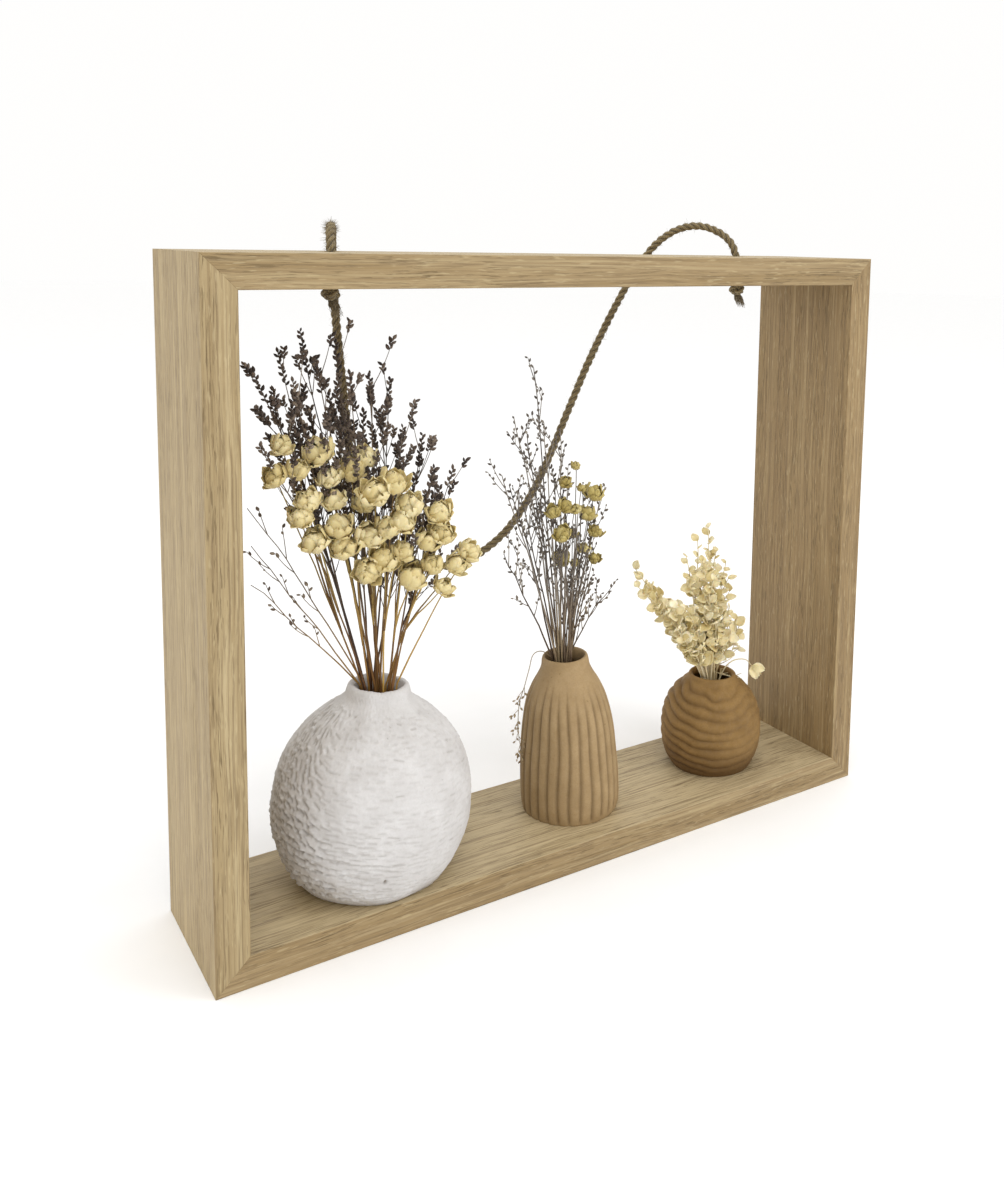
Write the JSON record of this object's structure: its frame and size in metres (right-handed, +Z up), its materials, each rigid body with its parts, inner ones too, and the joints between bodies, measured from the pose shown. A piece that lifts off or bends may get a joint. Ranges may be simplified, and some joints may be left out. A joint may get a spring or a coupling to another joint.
{
  "type": "floating frame with bud vases",
  "caption": "Deep open box frame of mitred oak boards with a rope loop for hanging, holding small stoneware vases of dried flowers.",
  "frame": {"origin": "middle of the underside of the bottom board", "axes": "+X along the frame to the viewer's right, -Y towards the viewer, +Z up"},
  "size_m": [0.3, 0.0814, 0.2658],
  "materials": {
    "oak": "light oak, clear matt oil, straight grain along each board",
    "beech_dowel": "plain fluted hardwood dowel, glued in",
    "jute": "three-strand twisted jute, fuzzy and matt",
    "white_stoneware": "off-white matt stoneware with broken scored strokes",
    "tan_stoneware": "tan matt stoneware, fluted by hand",
    "brown_stoneware": "brown matt stoneware with rounded ribs",
    "dried_statice": "dark purple-brown dried buds and twigs",
    "dried_cream": "cream-yellow papery dried heads",
    "dried_stem": "golden-brown dried stems",
    "dried_twig": "grey-brown dried twigs",
    "dried_yellow": "olive-yellow papery dried heads",
    "bleached_leaf": "cream bleached small leaves"
  },
  "bodies": {
    "frame": {"top_board": "oak", "bottom_board": "oak", "left_board": "oak", "right_board": "oak", "corner_dowels": "beech_dowel", "hanging_rope": "jute", "knot_left": "jute", "knot_right": "jute", "rope_tail_left": "jute", "rope_tail_right": "jute"},
    "vase_white": {"white_vase": "white_stoneware"},
    "vase_fluted": {"fluted_vase": "tan_stoneware"},
    "vase_ribbed": {"ribbed_vase": "brown_stoneware"},
    "bunch_white": {"statice_stems": "dried_stem", "statice_spikes": "dried_statice", "cream_stems": "dried_stem", "cream_heads": "dried_cream"},
    "bunch_fluted": {"grey_twigs": "dried_twig", "yellow_stems": "dried_twig", "yellow_heads": "dried_yellow"},
    "bunch_ribbed": {"spray_stems": "dried_stem", "leaf_sprays": "bleached_leaf"}
  },
  "joints": [
    {"name": "white_vase_out", "type": "slide", "parent": "frame", "child": "vase_white", "axis": [0, -1, 0], "range_m": [0, 0.1]},
    {"name": "fluted_vase_out", "type": "slide", "parent": "frame", "child": "vase_fluted", "axis": [0, -1, 0], "range_m": [0, 0.1]},
    {"name": "ribbed_vase_out", "type": "slide", "parent": "frame", "child": "vase_ribbed", "axis": [0, -1, 0], "range_m": [0, 0.1]},
    {"name": "white_bunch_lift", "type": "slide", "parent": "vase_white", "child": "bunch_white", "axis": [0, 0, 1], "range_m": [0, 0.008]},
    {"name": "fluted_bunch_lift", "type": "slide", "parent": "vase_fluted", "child": "bunch_fluted", "axis": [0, 0, 1], "range_m": [0, 0.028]},
    {"name": "ribbed_bunch_lift", "type": "slide", "parent": "vase_ribbed", "child": "bunch_ribbed", "axis": [0, 0, 1], "range_m": [0, 0.085]}
  ]
}
